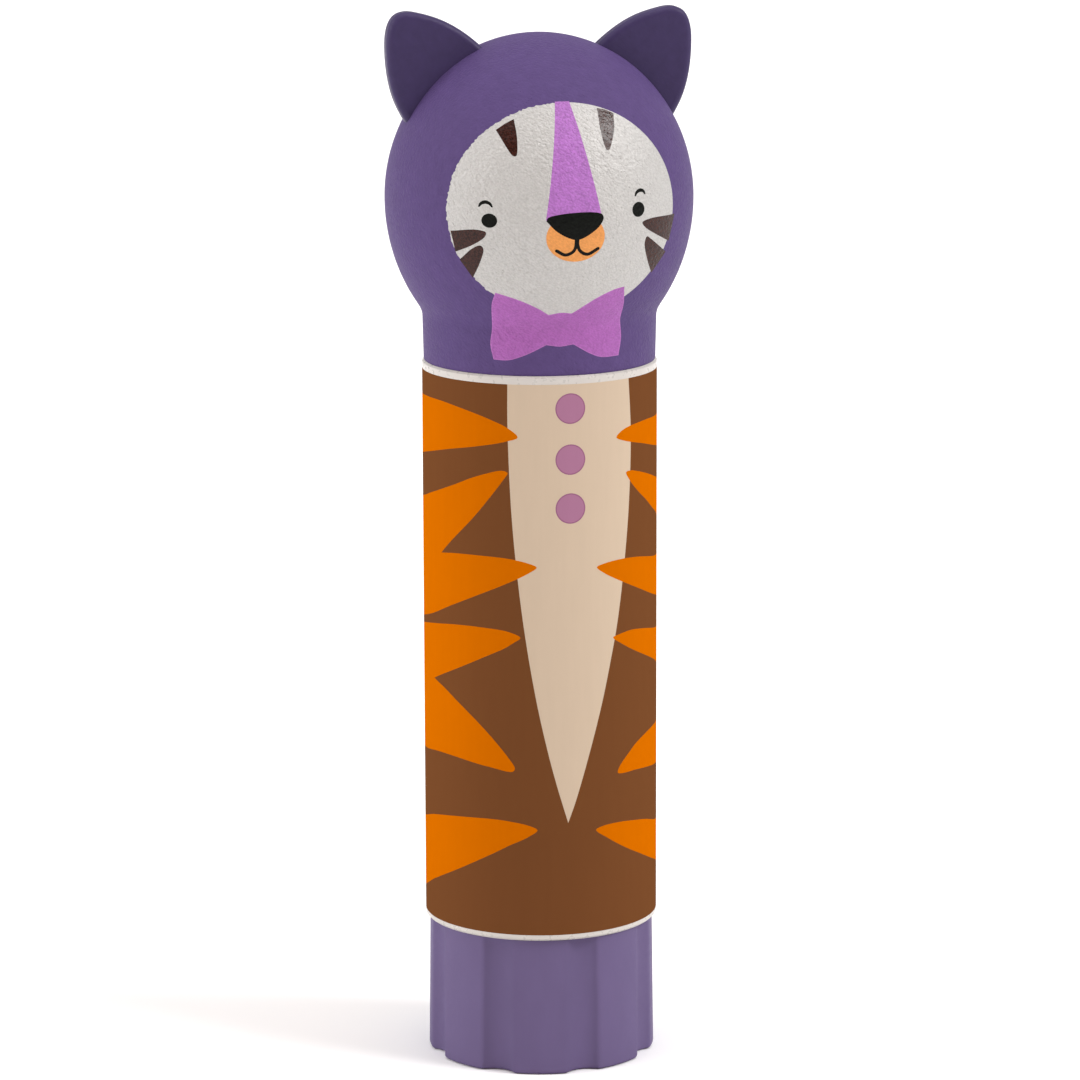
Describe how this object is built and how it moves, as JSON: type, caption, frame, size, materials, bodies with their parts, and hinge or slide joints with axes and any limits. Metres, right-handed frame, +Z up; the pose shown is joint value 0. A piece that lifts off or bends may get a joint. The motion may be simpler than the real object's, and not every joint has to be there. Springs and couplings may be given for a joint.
{
  "type": "glue stick",
  "caption": "Twist-up glue stick with a fluted foot knob, a printed barrel and a pull-off cap shaped as a hooded tiger's head with flat ears.",
  "frame": {"origin": "centre of the knob's foot, on the surface that the stick stands on", "axes": "+Z up along the barrel's axis to the ears; -Y is the front that the face looks towards; +X is on the right of the face as seen from the front"},
  "size_m": [0.0328, 0.0326, 0.1128],
  "materials": {
    "knob_plastic": "satin moulded purple plastic",
    "white_plastic": "smooth white moulded plastic",
    "label_film": "printed film, brown ground with orange stripes and a cream front",
    "glue_paste": "waxy white paste",
    "cap_paint": "satin purple paint with a printed face",
    "ear_paint": "satin dark purple"
  },
  "bodies": {
    "barrel": {"barrel": "white_plastic", "label": "label_film"},
    "knob": {"knob": "knob_plastic", "spindle": "white_plastic"},
    "carrier": {"carrier": "white_plastic", "glue": "glue_paste"},
    "cap": {"cap_shell": "cap_paint", "cap_liner": "white_plastic", "ear_left": "ear_paint", "ear_right": "ear_paint"}
  },
  "joints": [
    {"name": "knob_turn", "type": "hinge", "parent": "barrel", "child": "knob", "pos_m": [0, 0, 0.0075], "axis": [0, 0, -1], "range_deg": [0, 1440]},
    {"name": "carrier_rise", "type": "slide", "parent": "barrel", "child": "carrier", "axis": [0, 0, 1], "range_m": [0, 0.0181]},
    {"name": "cap_pull", "type": "slide", "parent": "barrel", "child": "cap", "axis": [0, 0, 1], "range_m": [0, 0.045]}
  ],
  "couplings": [
    {"joint": "carrier_rise", "follows": "knob_turn", "m_per_rad": 0.0007162}
  ]
}
